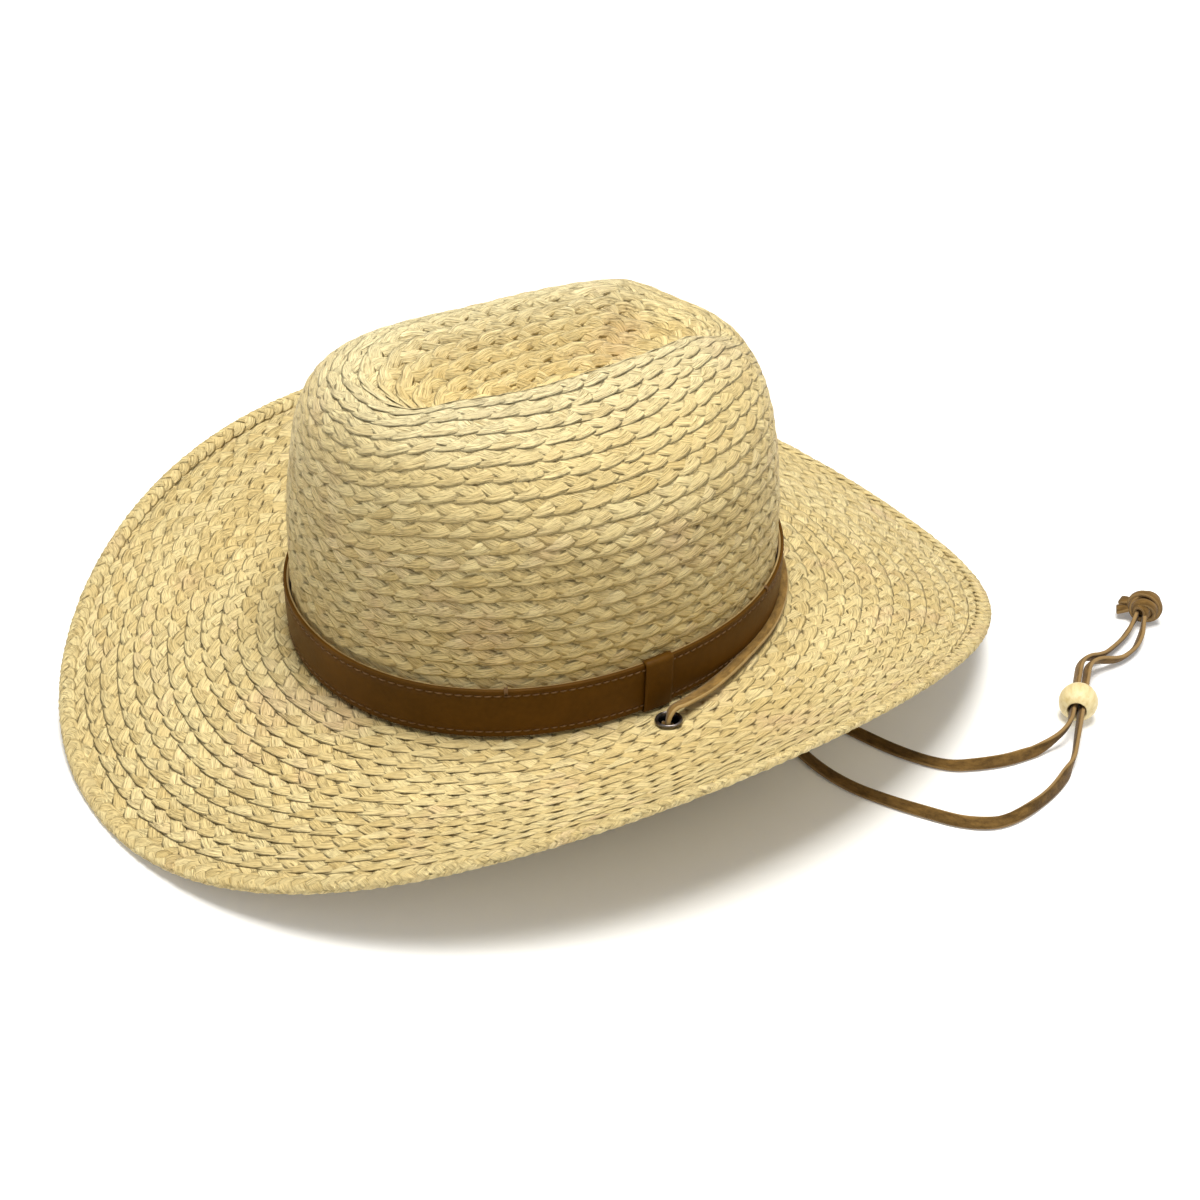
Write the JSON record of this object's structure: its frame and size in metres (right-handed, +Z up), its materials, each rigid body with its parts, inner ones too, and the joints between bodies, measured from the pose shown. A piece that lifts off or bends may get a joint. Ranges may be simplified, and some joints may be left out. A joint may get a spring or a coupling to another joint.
{
  "type": "cowboy hat",
  "caption": "Straw cowboy hat with a creased crown, curled brim, leather band and a suede chin cord held by a sliding wooden bead.",
  "frame": {"origin": "floor level under the middle of the brim, where the hat stands on the front and back dips of its brim", "axes": "+Z up, front of the hat towards -Y, wearer's left is +X"},
  "size_m": [0.3533, 0.4489, 0.1558],
  "materials": {
    "straw": "sewn palm straw braid, satin",
    "wire": "drawn steel",
    "sweatband": "woven tape",
    "band_leather": "smooth brown leather",
    "thread": "waxed thread",
    "eyelet_metal": "gunmetal",
    "suede": "suede lace",
    "bead_wood": "turned, unvarnished"
  },
  "bodies": {
    "hat": {"crown_side_braid": "straw", "crown_tip_braid": "straw", "brim_braid": "straw", "brim_edge_row": "straw", "brim_wire": "wire", "brim_wire_sleeve": "wire", "sweatband": "sweatband", "sweatband_piping": "sweatband", "sweatband_tab": "sweatband", "hat_band_backing": "band_leather", "hat_band_strap": "band_leather", "hat_band_keeper": "band_leather", "hat_band_stitching_upper": "thread", "hat_band_stitching_lower": "thread", "hat_band_tacks": "thread", "eyelet_left": "eyelet_metal", "eyelet_right": "eyelet_metal", "eyelet_washer_left": "eyelet_metal", "eyelet_washer_right": "eyelet_metal", "chin_cord_back": "suede", "chin_cord_left_tail": "suede", "chin_cord_right_tail": "suede", "chin_cord_knot": "suede"},
    "bead": {"slide_bead": "bead_wood"}
  },
  "joints": [
    {"name": "bead_slide", "type": "slide", "parent": "hat", "child": "bead", "axis": [-0.6561, 0.7547, 0], "range_m": [-0.003, 0.016]}
  ]
}
